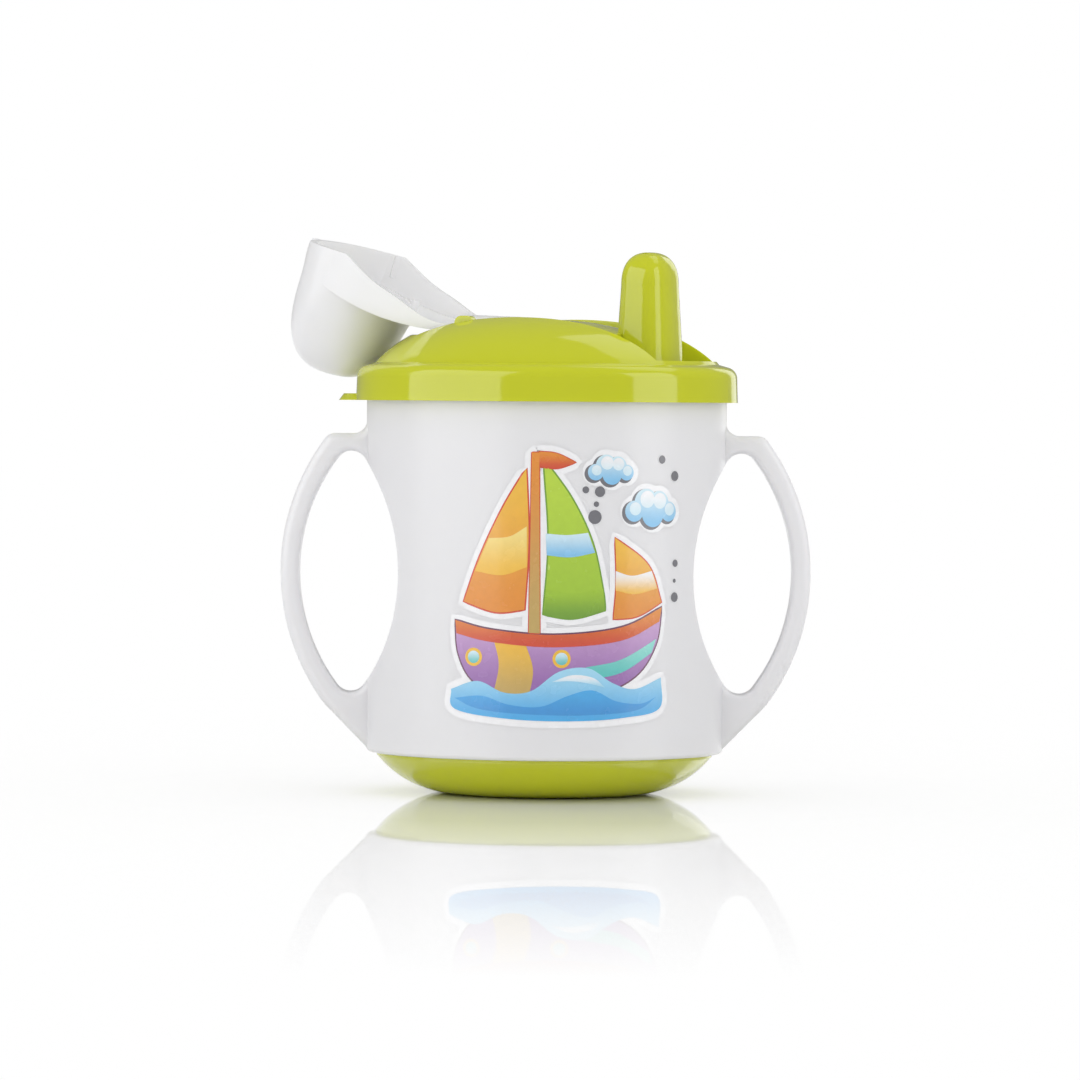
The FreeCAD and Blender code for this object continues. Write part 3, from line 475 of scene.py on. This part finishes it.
def make_world():
    """White studio, but dim in what a gloss sees. A perfect mirror, the table top, sees it white."""
    world = bpy.data.worlds.new("studio")
    bpy.context.scene.world = world
    world.use_nodes = True
    nodes, links = world.node_tree.nodes, world.node_tree.links
    shell = nodes["Background"]
    shell.inputs["Color"].default_value = (1.0, 1.0, 1.0, 1.0)
    shell.inputs["Strength"].default_value = 1.0
    dim = nodes.new("ShaderNodeBackground")
    dim.inputs["Color"].default_value = (1.0, 1.0, 1.0, 1.0)
    dim.inputs["Strength"].default_value = GLOSS_WORLD
    path = nodes.new("ShaderNodeLightPath")
    mix = nodes.new("ShaderNodeMixShader")
    soft = nodes.new("ShaderNodeMath")
    soft.operation = "SUBTRACT"
    links.new(path.outputs["Is Glossy Ray"], soft.inputs[0])
    links.new(path.outputs["Is Singular Ray"], soft.inputs[1])
    links.new(soft.outputs["Value"], mix.inputs["Fac"])
    links.new(shell.outputs["Background"], mix.inputs[1])
    links.new(dim.outputs["Background"], mix.inputs[2])
    links.new(mix.outputs["Shader"], nodes["World Output"].inputs["Surface"])


def area_light(name, azimuth, elevation, distance, size, power):
    """Softbox that only glosses see, at an azimuth (0 towards the camera, + to the right) and an
    elevation from the cup."""
    data = bpy.data.lights.new(name, "AREA")
    data.shape = "RECTANGLE"
    data.size, data.size_y = size
    data.energy = power
    light = bpy.data.objects.new(name, data)
    bpy.context.collection.objects.link(light)
    a, e = math.radians(azimuth), math.radians(elevation)
    way = Vector((math.sin(a) * math.cos(e), -math.cos(a) * math.cos(e), math.sin(e)))
    light.location = LIGHT_TARGET + way * distance
    light.rotation_euler = way.to_track_quat("Z", "Y").to_euler()
    light.visible_diffuse = False


def make_lights():
    """Tall softboxes left and right, one high up behind on the right and a strip low behind it."""
    area_light("left_box", azimuth=-59.0, elevation=18.0, distance=1.2, size=(1.5, 1.7), power=17.0)
    area_light("right_box", azimuth=68.0, elevation=14.0, distance=1.2, size=(0.68, 1.3), power=6.0)
    area_light("over_box", azimuth=131.0, elevation=58.0, distance=1.3, size=(0.95, 0.5), power=1.5)
    area_light("back_strip", azimuth=155.0, elevation=10.0, distance=1.3, size=(0.35, 0.8), power=0.9)


# ---- put together -----------------------------------------------------------------------------------
def dress(node, material):
    """A CAD node takes one material."""
    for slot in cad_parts[node].material_slots:
        slot.material = material


def main():
    """Camera, studio, materials and the print."""
    bpy.context.scene.view_settings.view_transform = "Standard"
    make_camera()
    make_world()
    make_lights()
    make_floor()
    lime = lime_plastic()
    white = milky_plastic("white_plastic", shade=0.835, weight=0.3, transmission=0.0)
    cover = milky_plastic("cover_plastic", shade=0.965, weight=0.5, transmission=0.1)
    silicone = soft_silicone()
    dress("cup_body", white)
    dress("base_cap", lime)
    dress("lid", lime)
    dress("spout_cover", cover)
    dress("lid_seal", silicone)
    dress("spout_valve", silicone)
    make_print()


main()
